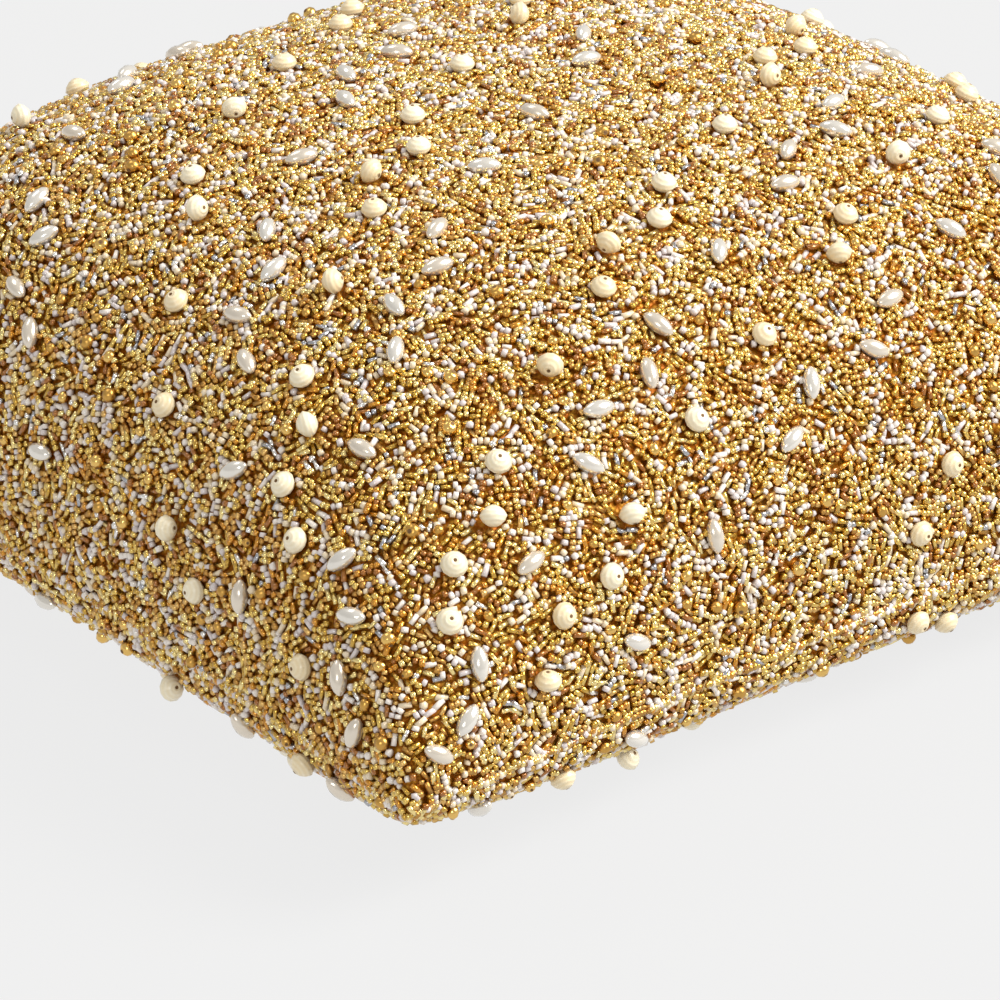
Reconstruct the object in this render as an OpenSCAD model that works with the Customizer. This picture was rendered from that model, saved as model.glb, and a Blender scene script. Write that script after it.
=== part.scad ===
// Padded evening clutch: two beaded half shells, each with wadding and a satin lining,
// sewn together round three sides and closed by a metal zip along the fourth.
// The bag lies on its back. X runs along the zip, Y from the bottom seam up to the zip,
// Z out of the front. The origin is the middle of the flat patch that it rests on.

/* [Bag] */
// Width of the bag along the zip
bag_width = 280; // [270:5:300]
// Height of the bag from the bottom seam to the zip
bag_height = 260; // [240:5:280]
// Rise of the front half above the seam
front_rise = 84; // [70:1:95]
// Depth of the back half below the seam
back_rise = 25; // [24:1:30]
// How far each sewn edge curves in between its corners, as a share of the half width
edge_dip = 0.04; // [0:0.01:0.06]
// Gap that parts the two halves at the seam
seam_gap = 0.3; // [0.2:0.1:0.6]

/* [Layers] */
// Thickness of the cloth with its pile of small beads
cloth_thick = 2.2; // [1.8:0.1:2.4]
// Thickness of the wadding
wadding_thick = 5.4; // [4:0.1:5.4]
// Thickness of the satin lining
lining_thick = 0.7; // [0.5:0.1:1]
// Clearance between one layer and the next
layer_gap = 0.3; // [0.2:0.1:0.4]

/* [Zip] */
// Length of each row of teeth
zip_length = 216; // [200:4:216]
// Distance from one tooth to the next in a row
tooth_pitch = 2.4; // [2.2:0.2:3.2]
// Depth of the zip below the bag's top edge
zip_depth = 5; // [5:0.1:5.4]
// Half height of the slot that shows the zip
slot_half = 5; // [4.6:0.1:5.4]
// Angle between the lying pull tab and its outward position
pull_angle = 0; // [0:5:120]

/* [Beads] */
// Number of places for large beads on the front half
front_places = 310; // [100:10:420]
// Number of places for large beads on the back half
back_places = 240; // [100:10:320]
// Length of a rice pearl
pearl_length = 8; // [6:0.5:9]
// Diameter of a rice pearl
pearl_width = 4; // [3:0.5:4.5]
// Diameter of a ridged bicone bead
bicone_width = 6; // [5:0.5:7]
// Diameter of a round gilt bead
gilt_width = 3.4; // [2.5:0.1:4]
// Depth of the pile of small beads that the large beads stand in
pile_depth = 1.7; // [1.2:0.1:1.8]

/* [Hidden] */

seam_z = back_rise;
half_turn = 90;
grid_steps = 24;              // quads along each way of a shell
side_power = 2 / 3;           // squareness of the plan: higher is rounder
rise_power = 0.76;            // fullness of the crown: lower is fuller
spread_power = 1.4;           // spreads places evenly over crown and flanks
rest_flat = 1.05;             // how much of the back's crown is pressed flat

wadding_in = cloth_thick + layer_gap;
lining_in = wadding_in + wadding_thick + layer_gap;
cavity_in = lining_in + lining_thick;

zip_y = bag_height / 2 - zip_depth;
slot_lift = slot_half - seam_gap / 2;
slot_fade = 0.12;             // share of the half width over which the slot closes again
slot_sharpness = 24;          // higher keeps the slot's lift closer to the top edge
slot_reach = 0.8;             // share of the half width that the slot runs to
front_wadding_rows = grid_steps - 1;    // the wadding stops short of the mouth,
back_wadding_rows = grid_steps - 2;     // clear of the zip's tape

// ---- the padded form ----

function sign_of(v) = v < 0 ? -1 : 1;
function smooth(v) = let (c = min(1, max(0, v))) c * c * (3 - 2 * c);

// Share of the half width for an angle from -90 at one edge to 90 at the other
function side(angle) = sign_of(angle) * pow(sin(abs(angle)), side_power);

// Height of the crown over a place in the plan, from 0 at the seam to 1 in the middle
function crown(a, b) = pow(cos(a), rise_power) * pow(cos(b), rise_power);

// Share of the mouth's slot at a place: 1 along the zip, 0 past its ends
function slot_share(s, t) =
    smooth((slot_reach + slot_fade - abs(s)) / slot_fade) * pow(max(t, 0), slot_sharpness);

// A point on the front (up = 1) or back (up = -1), inset into the padding.
// a and b are the angles across and up the bag.
function form_point(a, b, inset, up) =
    let (
        s = side(a),
        t = side(b),
        x = s * (bag_width / 2 - inset) * (1 - edge_dip * (1 - t * t)),
        y = t * (bag_height / 2 - inset) * (1 - edge_dip * (1 - t) / 2 * (1 - s * s)),
        rise = up > 0 ? (front_rise - inset) * crown(a, b)
                      : (back_rise - inset) * min(1, rest_flat * crown(a, b)),
        z = seam_z + up * (seam_gap / 2 + rise * (1 - seam_gap / 2 / (up > 0 ? front_rise : back_rise))
                           + slot_lift * slot_share(s, t))
    )
    [x, y, z];

// ---- shells ----

function grid_angle(i) = half_turn * (2 * i / grid_steps - 1);

function form_grid(inset, up, rows) = [
    for (j = [0 : rows], i = [0 : grid_steps])
        form_point(grid_angle(i), grid_angle(j), inset, up)
];

function cell(i, j, base) = base + j * (grid_steps + 1) + i;

function sheet_faces(base, flip, rows) = [
    for (j = [0 : rows - 1], i = [0 : grid_steps - 1], half = [0, 1])
        let (
            p = cell(i, j, base), q = cell(i + 1, j, base),
            r = cell(i + 1, j + 1, base), w = cell(i, j + 1, base),
            f = half == 0 ? [p, r, q] : [p, w, r]
        )
        flip ? [f[2], f[1], f[0]] : f
];

// The closed run of points round a sheet's edge
function rim(base, rows) = concat(
    [for (i = [0 : grid_steps - 1]) cell(i, 0, base)],
    [for (j = [0 : rows - 1]) cell(grid_steps, j, base)],
    [for (i = [grid_steps : -1 : 1]) cell(i, rows, base)],
    [for (j = [rows : -1 : 1]) cell(0, j, base)]
);

function rim_faces(outer, inner, flip) =
    let (n = len(outer))
    [
        for (k = [0 : n - 1], half = [0, 1])
            let (
                a = outer[k], b = outer[(k + 1) % n],
                c = inner[k], d = inner[(k + 1) % n],
                f = half == 0 ? [a, b, d] : [a, d, c]
            )
            flip ? [f[2], f[1], f[0]] : f
    ];

// A curved shell between two insets of the padded form, from the bottom seam up
module shell(inset, thick, up, rows = grid_steps) {
    outer = form_grid(inset, up, rows);
    inner = form_grid(inset + thick, up, rows);
    size = len(outer);
    polyhedron(
        points = concat(outer, inner),
        faces = concat(
            sheet_faces(0, up < 0, rows),
            sheet_faces(size, up > 0, rows),
            rim_faces(rim(0, rows), rim(size, rows), up < 0)
        ),
        convexity = 6
    );
}

module front_beaded_cloth() {
    color("goldenrod") shell(0, cloth_thick, 1);
}

module back_beaded_cloth() {
    color("goldenrod") shell(0, cloth_thick, -1);
}

module front_wadding() {
    color("ivory") shell(wadding_in, wadding_thick, 1, front_wadding_rows);
}

module back_wadding() {
    color("ivory") shell(wadding_in, wadding_thick, -1, back_wadding_rows);
}

module front_lining() {
    color("wheat") shell(lining_in, lining_thick, 1);
}

module back_lining() {
    color("wheat") shell(lining_in, lining_thick, -1);
}

// ---- slip pocket inside the back lining ----

pocket_width = 110;
pocket_height = 78;
pocket_thick = 0.6;
pocket_corner = 8;
pocket_y = -5;                // keeps it on the flat floor of the lining

module lining_pocket() {
    floor_z = cavity_in + seam_gap;
    color("wheat")
        translate([0, pocket_y, floor_z])
            linear_extrude(pocket_thick)
                union() {
                    square([pocket_width, pocket_height - 2 * pocket_corner], center = true);
                    square([pocket_width - 2 * pocket_corner, pocket_height], center = true);
                    for (sx = [-1, 1], sy = [-1, 1])
                        translate([
                            sx * (pocket_width / 2 - pocket_corner),
                            sy * (pocket_height / 2 - pocket_corner)
                        ])
                            circle(r = pocket_corner, $fn = 48);
                }
}

// ---- large beads ----

plastic_number = 1.32471795724475;      // spaces the places evenly, with no rows
turn_step = 137.5;                      // turns each bead away from the last
probe = 0.5;                            // small angle for finding a slope
bead_spacing = 9;                       // least distance between the middles of two places
bead_seam_clear = 4.7;                  // large beads keep this far from the seam
bead_rest_clear = 5.3;                  // and this far above the surface it lies on
zip_clear = 15;                         // and this far above and below the zip
zip_margin = 4;
last_angle = 89;                        // no bead sits on the very edge
tilt_every = 3;                         // one bicone in three stands on its edge
tilt = 75;
edge_lift = 0.3;                        // a bead on edge is held a little proud of the cloth

function fraction(v) = v - floor(v);
function place_angle(u) = sign_of(u) * half_turn * pow(abs(u), spread_power);
function place(i) = [
    place_angle(2 * fraction(0.5 + i / plastic_number) - 1),
    place_angle(2 * fraction(0.5 + i / pow(plastic_number, 2)) - 1)
];
function on_form(ab, up) = form_point(ab[0], ab[1], 0, up);

function form_normal(ab, up) =
    let (
        along = on_form(ab + [probe, 0], up) - on_form(ab - [probe, 0], up),
        across = on_form(ab + [0, probe], up) - on_form(ab - [0, probe], up),
        n = cross(along, across) * up
    )
    n / norm(n);

function clear_of_edges(p, up) =
    up * (p[2] - seam_z) > bead_seam_clear
    && p[2] > bead_rest_clear
    && !(p[1] > zip_y - zip_margin && abs(p[2] - seam_z) < zip_clear);

// A place is left empty if it comes too close to an earlier one
function has_room(points, i) =
    len([for (j = [0 : 1 : i - 1]) if (norm(points[i] - points[j]) < bead_spacing) j]) == 0;

// Kinds of large bead, dealt out in turn: rice pearl, bicone, rice pearl, bicone, gilt
function kind_of(i) = [0, 1, 0, 1, 2][i % 5];

// Sets children down on the form, standing in the pile, at every place of one kind.
// stand is how high a bead's middle is over the pile, and edge_stand is that on edge.
module set_beads(count, up, kind, stand, edge_stand) {
    points = [for (i = [1 : count]) on_form(place(i), up)];
    for (i = [1 : count]) {
        ab = place(i);
        p = points[i - 1];
        inside = max(abs(ab[0]), abs(ab[1])) < last_angle;
        if (kind_of(i) == kind && inside && clear_of_edges(p, up) && has_room(points, i - 1)) {
            n = form_normal(ab, up);
            tilted = kind == 1 && i % tilt_every == 0;
            translate(p + n * (tilted ? edge_stand : stand))
                rotate([0, acos(n[2]), atan2(n[1], n[0])])
                    rotate([0, 0, i * turn_step])
                        if (tilted) rotate([tilt, 0, 0]) children();
                        else children();
        }
    }
}

module rice_pearl() {
    radius = pearl_width / 2;
    tip = 0.15;                // cut off each end, where the thread goes in
    arc = (pow(pearl_length / 2, 2) + radius * radius) / (2 * radius);
    rotate([90, 0, 0])
        rotate_extrude($fn = 32)
            intersection() {
                translate([radius - arc, 0]) circle(r = arc, $fn = 96);
                translate([0, tip - pearl_length / 2]) square([radius + 1, pearl_length - 2 * tip]);
            }
}

bicone_flatness = 0.8;         // half height as a share of the radius

module bicone_bead() {
    r = bicone_width / 2;
    h = r * bicone_flatness;
    bore = 0.45;
    lip = 0.9;
    belt = 0.25;
    sink = h * 0.9;
    rotate_extrude($fn = 32)
        polygon([[bore, -sink], [lip, -h], [r, -belt], [r, belt], [lip, h], [bore, sink]]);
}

module gilt_bead() {
    r = gilt_width / 2;
    bore = 0.4;
    rotate_extrude($fn = 32)
        intersection() {
            circle(r = r, $fn = 48);
            translate([bore, -r]) square([r, 2 * r]);
        }
}

module rice_pearls(count, up) {
    stand = pearl_width / 2 - pile_depth;
    color("linen") set_beads(count, up, 0, stand, stand) rice_pearl();
}

module bicone_beads(count, up) {
    r = bicone_width / 2;
    stand = r * bicone_flatness - pile_depth;
    color("oldlace") set_beads(count, up, 1, stand, r - pile_depth + edge_lift) bicone_bead();
}

module gilt_beads(count, up) {
    color("gold") set_beads(count, up, 2, 0, 0) gilt_bead();
}

// ---- zip ----

row_gap = 0.45;                // half the channel between the two rows of teeth
tooth_head = 1.5;              // where a tooth's head ends and the tape begins
tooth_leg = 3.4;               // where its two legs end
tooth_half = 1.1;              // half its thickness
tooth_width = 1;
tape_half = 0.3;
leg_gap = 0.4;                 // half the slit that grips the tape
tape_play = 0.1;
tape_spare = 9;                // tape left past each end of the teeth
tape_length = zip_length + 2 * tape_spare;
front_tape_edge = 10;          // how far the front tape reaches past the zip's middle
back_tape_edge = 7.5;
stop_width = 2.4;
stop_gap = 0.5;
cut = 1;                       // how far a cutting shape runs past what it cuts

// Section of a tooth: a head with two legs that grip the tape's edge
module tooth_section() {
    polygon([
        [-tooth_half, row_gap], [tooth_half, row_gap], [tooth_half, tooth_leg],
        [leg_gap, tooth_leg], [leg_gap, tooth_head], [-leg_gap, tooth_head],
        [-leg_gap, tooth_leg], [-tooth_half, tooth_leg]
    ]);
}

// Stands a section in the YZ plane, width along X, centred on x
module across_zip(x, width) {
    translate([x - width / 2, zip_y, seam_z])
        rotate([90, 0, 90])
            linear_extrude(width)
                children();
}

module zip_teeth(up, offset_x) {
    count = floor((zip_length - tooth_pitch) / tooth_pitch);
    color("gold")
        for (k = [0 : count])
            across_zip(offset_x + tooth_pitch * (k - count / 2), tooth_width)
                if (up > 0) tooth_section();
                else mirror([0, 1]) tooth_section();
}

module zip_tape(up, edge) {
    low = up > 0 ? tooth_head + tape_play : -edge;
    high = up > 0 ? edge : -tooth_head - tape_play;
    color("burlywood")
        translate([-tape_length / 2, zip_y - tape_half, seam_z + low])
            cube([tape_length, 2 * tape_half, high - low]);
}

module top_stop(up) {
    color("gold")
        across_zip(zip_length / 2 + stop_gap + stop_width / 2, stop_width)
            if (up > 0) tooth_section();
            else mirror([0, 1]) tooth_section();
}

module bottom_stop() {
    color("gold")
        across_zip(-zip_length / 2 - stop_gap - stop_width / 2, stop_width)
            difference() {
                translate([-tooth_half, -tooth_leg]) square([2 * tooth_half, 2 * tooth_leg]);
                for (s = [-1, 1])
                    translate([-leg_gap, s > 0 ? tooth_head : -tooth_leg - cut])
                        square([2 * leg_gap, tooth_leg - tooth_head + cut]);
            }
}

// ---- slider and pull ----

slider_length = 9;
slider_half = 4.1;             // half its height across the teeth
plate_in = 1.35;               // inner faces of its two plates
plate_out = 2.05;
fin_half = 0.25;
slider_x = zip_length / 2 - slider_length / 2 - 1.5;
pull_axis = zip_depth + 1.3;   // height of the pin over the zip's middle
ear_in = 2.25;
ear_out = 3.05;
ear_radius = 1.5;
pin_radius = 0.6;
pin_play = 0.05;
barrel_radius = 1.35;
pull_length = 25;
pull_half = 2.9;
pull_thick = 1.2;
pull_neck = 8;                 // narrow part that passes between the ears
neck_overlap = 3;
pull_hole = 1.1;
pull_side_play = 0.15;
lip_gap = 0.6;                 // half the channel that the tape runs through
lip_thick = 0.5;
fin_length = 3;
root = 0.1;                    // how far one part of the slider runs into the next

module plate_shape() {
    union() {
        translate([-slider_length / 2, -slider_half]) square([slider_length - slider_half, 2 * slider_half]);
        translate([slider_length / 2 - slider_half, 0]) circle(r = slider_half, $fn = 64);
    }
}

// Works in the slider's own frame: X along the zip, Y across the teeth, Z outwards
module slider_frame() {
    translate([slider_x, zip_y, seam_z])
        rotate([-90, 0, 0])
            children();
}

module slider_body() {
    color("gold")
        slider_frame()
            difference() {
                union() {
                    translate([0, 0, plate_in]) linear_extrude(plate_out - plate_in) plate_shape();
                    translate([0, 0, -plate_out]) linear_extrude(plate_out - plate_in) plate_shape();
                    // fin that parts the two rows
                    translate([0, -fin_half, -plate_in - root])
                        cube([fin_length, 2 * fin_half, 2 * (plate_in + root)]);
                    // lips that ride under the back row
                    for (s = [-1, 1])
                        translate([-slider_length / 2, slider_half - lip_thick,
                                   s > 0 ? lip_gap : -plate_in - root])
                            cube([slider_length - slider_half, lip_thick, plate_in + root - lip_gap]);
                    // two ears for the pull's pin
                    for (s = [-1, 1])
                        translate([0, s * (ear_in + ear_out) / 2, 0])
                            ear();
                }
                translate([0, 0, pull_axis])
                    rotate([90, 0, 0])
                        cylinder(r = pin_radius, h = 4 * ear_out, center = true, $fn = 48);
            }
}

module ear() {
    translate([0, (ear_out - ear_in) / 2, 0])
        rotate([90, 0, 0])
            linear_extrude(ear_out - ear_in)
                union() {
                    translate([-ear_radius, plate_out - root])
                        square([2 * ear_radius, pull_axis - plate_out + root]);
                    translate([0, pull_axis]) circle(r = ear_radius, $fn = 48);
                }
}

module pull_pin() {
    color("gold")
        slider_frame()
            translate([0, 0, pull_axis])
                rotate([90, 0, 0])
                    cylinder(r = pin_radius, h = 2 * ear_out, center = true, $fn = 48);
}

module pull_tab() {
    half = ear_in - pull_side_play;
    color("gold")
        slider_frame()
            translate([0, 0, pull_axis])
                rotate([0, pull_angle, 0])
                    difference() {
                        union() {
                            rotate([90, 0, 0])
                                cylinder(r = barrel_radius, h = 2 * half, center = true, $fn = 64);
                            translate([0, 0, -pull_thick / 2])
                                linear_extrude(pull_thick)
                                    union() {
                                        translate([-pull_neck, -half]) square([pull_neck, 2 * half]);
                                        translate([-pull_length + pull_half, -pull_half])
                                            square([
                                                pull_length - pull_half - pull_neck + neck_overlap,
                                                2 * pull_half
                                            ]);
                                        translate([-pull_length + pull_half, 0])
                                            circle(r = pull_half, $fn = 64);
                                    }
                        }
                        rotate([90, 0, 0])
                            cylinder(
                                r = pin_radius + pin_play, h = 4 * ear_out, center = true, $fn = 48
                            );
                        translate([-pull_length + pull_half, 0, -pull_thick])
                            cylinder(r = pull_hole, h = 2 * pull_thick, $fn = 48);
                    }
}

front_beaded_cloth();
front_wadding();
front_lining();
rice_pearls(front_places, 1);  // front_rice_pearls
bicone_beads(front_places, 1);  // front_bicone_beads
gilt_beads(front_places, 1);  // front_gilt_beads
zip_tape(1, front_tape_edge);  // front_zip_tape
zip_teeth(1, 0);  // front_zip_teeth
top_stop(1);  // front_top_stop
back_beaded_cloth();
back_wadding();
back_lining();
lining_pocket();
rice_pearls(back_places, -1);  // back_rice_pearls
bicone_beads(back_places, -1);  // back_bicone_beads
gilt_beads(back_places, -1);  // back_gilt_beads
zip_tape(-1, back_tape_edge);  // back_zip_tape
zip_teeth(-1, tooth_pitch / 2);  // back_zip_teeth
top_stop(-1);  // back_top_stop
bottom_stop();
slider_body();
pull_pin();
pull_tab();
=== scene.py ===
from math import pi, radians, tau

import bpy
import numpy as np
from mathutils import Matrix, Vector
from mathutils.bvhtree import BVHTree
from mathutils.kdtree import KDTree


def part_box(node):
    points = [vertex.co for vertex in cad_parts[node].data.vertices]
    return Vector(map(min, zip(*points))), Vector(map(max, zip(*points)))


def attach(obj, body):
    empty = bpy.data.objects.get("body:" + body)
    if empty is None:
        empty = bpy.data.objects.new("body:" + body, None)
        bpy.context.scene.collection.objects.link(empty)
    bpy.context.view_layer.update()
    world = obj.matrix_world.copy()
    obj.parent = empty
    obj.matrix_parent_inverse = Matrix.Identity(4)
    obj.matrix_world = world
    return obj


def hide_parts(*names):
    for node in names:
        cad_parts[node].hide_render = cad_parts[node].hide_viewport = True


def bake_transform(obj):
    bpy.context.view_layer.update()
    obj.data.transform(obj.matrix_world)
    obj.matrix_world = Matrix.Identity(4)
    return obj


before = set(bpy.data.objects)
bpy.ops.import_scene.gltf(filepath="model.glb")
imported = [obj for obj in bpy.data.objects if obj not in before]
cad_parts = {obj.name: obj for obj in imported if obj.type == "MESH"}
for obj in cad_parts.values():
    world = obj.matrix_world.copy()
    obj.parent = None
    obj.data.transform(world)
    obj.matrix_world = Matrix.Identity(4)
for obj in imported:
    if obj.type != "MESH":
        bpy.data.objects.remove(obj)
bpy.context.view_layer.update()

# ---- Beaded cloth ----
# Two bulging halves of net backed with cotton, with a lowest layer of the finest amber and gold
# glass sewn close on it. They are sewn together on three sides, and along the fourth their edges
# are turned in and stitched to the zip tapes.

MM = 0.001

# every layer of a half follows one form, at its own depth into the padding
front_low, front_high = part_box("front_beaded_cloth")
back_low, back_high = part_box("back_beaded_cloth")
HALF_WIDTH = front_high[0]
HALF_HEIGHT = front_high[1]
SEAM_Z = (front_low[2] + back_high[2]) / 2
SEAM_GAP = front_low[2] - back_high[2]
RISE = {1: front_high[2] - SEAM_Z, -1: SEAM_Z - back_low[2]}
EDGE_DIP = 0.04
SIDE_POWER = 2 / 3
RISE_POWER = 0.76
REST_FLAT = 1.05
SLOT_LIFT = 4.85 * MM
SLOT_REACH = 0.8
SLOT_FADE = 0.12
SLOT_SHARPNESS = 24
QUARTER = pi / 2


def form(a, b, inset, up):
    """Points on the front (up = 1) or back (up = -1) at angles a across and b up the bag."""
    s = np.sign(a) * np.abs(np.sin(a)) ** SIDE_POWER
    t = np.sign(b) * np.abs(np.sin(b)) ** SIDE_POWER
    crown = (np.cos(a).clip(0) * np.cos(b).clip(0)) ** RISE_POWER
    if up < 0:
        crown = np.minimum(1, REST_FLAT * crown)
    fade = ((SLOT_REACH + SLOT_FADE - np.abs(s)) / SLOT_FADE).clip(0, 1)
    slot = fade * fade * (3 - 2 * fade) * t.clip(0) ** SLOT_SHARPNESS
    x = s * (HALF_WIDTH - inset) * (1 - EDGE_DIP * (1 - t * t))
    y = t * (HALF_HEIGHT - inset) * (1 - EDGE_DIP * (1 - t) / 2 * (1 - s * s))
    rise = (RISE[up] - inset) * crown * (1 - SEAM_GAP / 2 / RISE[up])
    z = SEAM_Z + up * (SEAM_GAP / 2 + rise + SLOT_LIFT * slot)
    return np.stack([x, y, z], -1)


def clear_selection():
    if bpy.context.object and bpy.context.object.mode != "OBJECT":
        bpy.ops.object.mode_set(mode="OBJECT")
    bpy.ops.object.select_all(action="DESELECT")


def lay_on_form(name, inset, up, across, steps, top=1):
    """A grid laid on the form between two shares of the half turn across the bag, up to a top."""
    clear_selection()
    bpy.ops.mesh.primitive_grid_add(x_subdivisions=steps[0], y_subdivisions=steps[1], size=2)
    piece = bpy.context.object
    piece.name = piece.data.name = name
    flat = np.empty(len(piece.data.vertices) * 3)
    piece.data.vertices.foreach_get("co", flat)
    u, v = flat.reshape(-1, 3)[:, :2].T
    a = (across[0] + (across[1] - across[0]) * (u + 1) / 2) * QUARTER
    b = ((v.clip(-1, 1) + 1) * (1 + top) / 2 - 1) * QUARTER
    laid = form(a, b, inset, up)
    piece.data.vertices.foreach_set("co", laid.ravel())
    if up < 0:
        bpy.ops.object.mode_set(mode="EDIT")
        bpy.ops.mesh.select_all(action="SELECT")
        bpy.ops.mesh.flip_normals()
        bpy.ops.object.mode_set(mode="OBJECT")
    piece.data.update()
    return piece


# each front layer is made as a left and a right piece
SIDES = {"left": -1, "right": 1}


def bend_with_mouth(piece):
    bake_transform(piece)


class Number:
    """A number inside a material."""

    def __init__(self, finish, socket):
        self.finish, self.socket = finish, socket

    def sum(self, operation, first, second):
        values = [n.socket if isinstance(n, Number) else n for n in (first, second)]
        node = self.finish.add("ShaderNodeMath", {"operation": operation}, {0: values[0], 1: values[1]})
        return Number(self.finish, node.outputs[0])

    def __add__(self, other): return self.sum("ADD", self, other)
    def __radd__(self, other): return self.sum("ADD", other, self)
    def __sub__(self, other): return self.sum("SUBTRACT", self, other)
    def __rsub__(self, other): return self.sum("SUBTRACT", other, self)
    def __mul__(self, other): return self.sum("MULTIPLY", self, other)
    def __rmul__(self, other): return self.sum("MULTIPLY", other, self)
    def __pow__(self, other): return self.sum("POWER", self, other)

    def sine(self):
        return self.sum("SINE", self * tau, 0) * 0.5 + 0.5


class Finish:
    """A material with one shader, whose plain values are set on the shader itself."""

    def __init__(self, name, colour, **shine):
        self.material = bpy.data.materials.new(name)
        self.material.use_nodes = True
        self.material.diffuse_color = (*colour, 1)
        self.tree = self.material.node_tree
        self.shader = self.tree.nodes["Principled BSDF"]
        self.shader.inputs["Base Color"].default_value = (*colour, 1)
        for key, value in shine.items():
            name_on_shader = key.replace("_", " ").title().replace("Ior", "IOR")
            self.shader.inputs[name_on_shader].default_value = value

    def add(self, kind, settings=None, values=None):
        node = self.tree.nodes.new(kind)
        for key, value in (settings or {}).items():
            setattr(node, key, value)
        for key, value in (values or {}).items():
            self.put(value, node.inputs[key])
        return node

    def put(self, value, socket):
        value = value.socket if isinstance(value, Number) else value
        if isinstance(value, bpy.types.NodeSocket):
            self.tree.links.new(value, socket)
        else:
            socket.default_value = value

    def noise(self, scale, detail=2.0, stretch=(1, 1, 1)):
        where = self.add("ShaderNodeTexCoord").outputs["Object"]
        laid = self.add("ShaderNodeMapping", values={"Vector": where, "Scale": stretch})
        node = self.add("ShaderNodeTexNoise", values={
            "Vector": laid.outputs[0], "Scale": scale, "Detail": detail})
        return Number(self, node.outputs["Fac"])

    def grains(self, scale):
        """Rounded grains: how high each place stands on its grain, and a number for each grain."""
        where = self.add("ShaderNodeTexCoord").outputs["Object"]
        node = self.add("ShaderNodeTexVoronoi", values={"Vector": where, "Scale": scale})
        own = self.add("ShaderNodeSeparateColor", values={0: node.outputs["Color"]})
        return 1 - Number(self, node.outputs["Distance"]), Number(self, own.outputs[0])

    def ribs(self, axis, pitch):
        """Fine ribs that run across one way of the object."""
        place = self.add("ShaderNodeTexCoord").outputs["Object"]
        where = self.add("ShaderNodeSeparateXYZ", values={0: place})
        return (Number(self, where.outputs[axis]) * (1 / pitch)).sine()

    def wound(self, turns):
        """A groove that winds round a bead, from the bead's own map of around and along."""
        where = self.add("ShaderNodeSeparateXYZ", values={
            0: self.add("ShaderNodeUVMap", {"uv_map": "own_map"}).outputs[0]})
        around, along = (Number(self, where.outputs[k]) for k in (0, 1))
        return (around + along * turns).sine()

    def blend(self, share, one, two):
        node = self.add("ShaderNodeMix", {"data_type": "RGBA"}, {0: share, 6: (*one, 1), 7: (*two, 1)})
        return node.outputs[2]

    def bump(self, height, distance, strength=1.0):
        node = self.add("ShaderNodeBump", values={
            "Height": height, "Distance": distance, "Strength": strength})
        self.put(node.outputs[0], self.shader.inputs["Normal"])

    def wear(self, piece):
        piece.data.materials.clear()
        piece.data.materials.append(self.material)


PILE = 1.75 * MM
CLOTH = 0.35 * MM
TAPE_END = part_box("front_zip_tape")[1].x
TURN_FOLDS = ((0.6, 0.15), (0.4, 0.85))
SHUT_GAP = 0.4 * MM
TOUCH = 0.01 * MM
cloth_finish = Finish("bead_ground_cloth", (0.45, 0.19, 0.01), roughness=0.4, metallic=0.3,
                      specular_ior_level=0.1)
height, own = cloth_finish.grains(760)
# painted shade and highlight: each grain of the cloth has its own random tone, darkened towards its rim as
# painted shade between the grains and lightest in its middle as a painted highlight
cloth_finish.put(
    cloth_finish.blend(own * height ** 2, (0.27, 0.07, 0.001), (0.92, 0.54, 0.07)),
    cloth_finish.shader.inputs["Base Color"])
cloth_finish.bump(height, 0.0006, 1.0)


def turn_in(piece, up, to_y, rise):
    """Turns the mouth edge in towards the zip and up along its tape. It is shut past the tape."""
    edge_y = max(v.co.y for v in piece.data.vertices)
    clear_selection()
    bpy.context.view_layer.objects.active = piece
    piece.select_set(True)
    bpy.ops.object.mode_set(mode="EDIT")
    bpy.ops.mesh.select_mode(type="VERT")
    bpy.ops.mesh.select_all(action="DESELECT")
    bpy.ops.object.mode_set(mode="OBJECT")
    for vertex in piece.data.vertices:
        vertex.select = vertex.co.y > edge_y - TOUCH
    bpy.ops.object.mode_set(mode="EDIT")
    for share_in, share_up in TURN_FOLDS:
        fold = (0, (to_y - edge_y) * share_in, up * rise * share_up)
        bpy.ops.mesh.extrude_region_move(TRANSFORM_OT_translate={"value": fold})
    bpy.ops.object.mode_set(mode="OBJECT")
    for vertex in piece.data.vertices:
        if vertex.select and abs(vertex.co.x) > TAPE_END:
            vertex.co.z = SEAM_Z + up * SHUT_GAP


def thicken(piece, thickness):
    """Gives a sheet its thickness, inwards from the face that shows."""
    clear_selection()
    bpy.context.view_layer.objects.active = piece
    piece.select_set(True)
    solid = piece.modifiers.new("thickness", "SOLIDIFY")
    solid.thickness = thickness
    solid.offset = -1
    bpy.ops.object.modifier_apply(modifier=solid.name)
    bpy.ops.object.shade_smooth_by_angle(angle=radians(50))


def cut_size(piece):
    """The size of the flat cloth that a laid sheet was cut from, and its area."""
    places = np.array([v.co for v in piece.data.vertices])
    area = sum(face.area for face in piece.data.polygons)
    width = np.ptp(places[:, 0])
    return (float(width), float(area / width)), float(area)


TURN_TO = 125.5 * MM
TURN_RISE = 4 * MM
FORM_STEPS = 48
half_cloths = {}
for side_name, side in SIDES.items():
    across = (-1, 0) if side < 0 else (0, 1)
    piece = lay_on_form(f"front_ground_cloth_{side_name}", PILE, 1, across, (FORM_STEPS, 2 * FORM_STEPS))
    half_cloths[side_name] = piece
half_cloths["back"] = lay_on_form("back_ground_cloth", PILE, -1, (-1, 1), (2 * FORM_STEPS, 2 * FORM_STEPS))


def surface_of(*sheets):
    """The corners of every triangle of some sheets."""
    corners = []
    for sheet in sheets:
        sheet.data.calc_loop_triangles()
        places = np.array([v.co for v in sheet.data.vertices])
        index = np.array([t.vertices for t in sheet.data.loop_triangles])
        corners.append(places[index])
    return np.concatenate(corners)


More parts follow.
